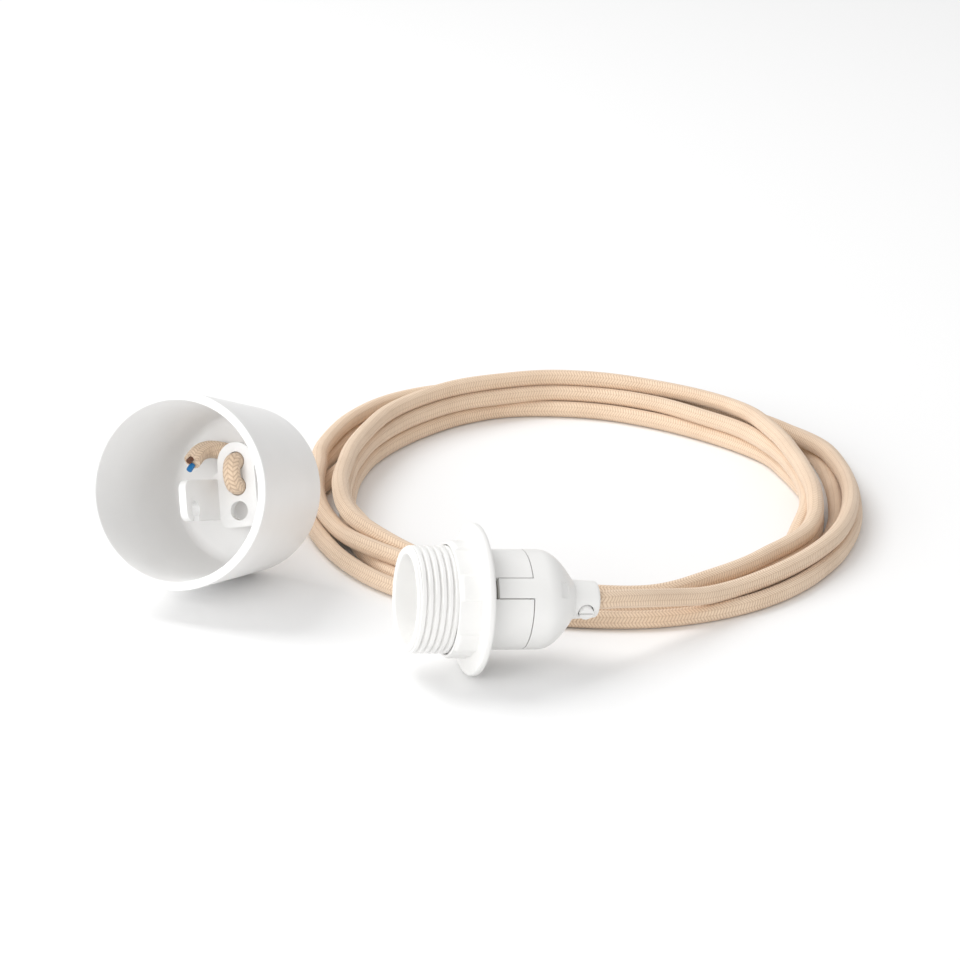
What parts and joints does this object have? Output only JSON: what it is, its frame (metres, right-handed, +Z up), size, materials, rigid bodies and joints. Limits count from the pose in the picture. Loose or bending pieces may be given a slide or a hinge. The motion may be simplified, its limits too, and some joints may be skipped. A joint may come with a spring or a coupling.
{
  "type": "pendant cord set",
  "caption": "Pendant cord set for a lamp: cup-shaped ceiling cover with a suspension hook, coiled textile cord, and a threaded lamp holder with a shade ring.",
  "frame": {"origin": "on the surface that the set lies on, under the middle of the box round the lamp holder and the ceiling cup, without the cord", "axes": "+Z up; +X to the right in the front view, from the cup's side to the side where the holder's cord leaves; +Y away from the viewer, towards the far side of the coil"},
  "size_m": [0.3084, 0.3353, 0.0861],
  "materials": {
    "holder_plastic": "satin, fine moulded",
    "cup_plastic": "smooth, softly satin",
    "insulator": "matte moulded",
    "contact_brass": "stamped, satin",
    "screw_steel": "zinc plated",
    "cord_textile": "braided textile sleeve",
    "core_brown": "smooth wire insulation",
    "core_blue": "smooth wire insulation"
  },
  "bodies": {
    "root": {"threaded_skirt": "holder_plastic", "shade_ring": "holder_plastic", "cap": "holder_plastic", "cord_grip_screw": "holder_plastic", "contact_carrier": "insulator", "centre_contact": "contact_brass", "side_contact": "contact_brass", "terminal_line": "contact_brass", "terminal_neutral": "contact_brass", "terminal_screw_line": "screw_steel", "terminal_screw_neutral": "screw_steel", "holder_core_brown": "core_brown", "holder_core_blue": "core_blue", "ceiling_cup": "cup_plastic", "suspension_hook": "cup_plastic", "cord_end": "cord_textile", "end_core_brown": "core_brown", "end_core_blue": "core_blue", "cord_coil": "cord_textile", "cord_at_holder": "cord_textile", "cord_at_cup": "cord_textile"}
  },
  "joints": []
}
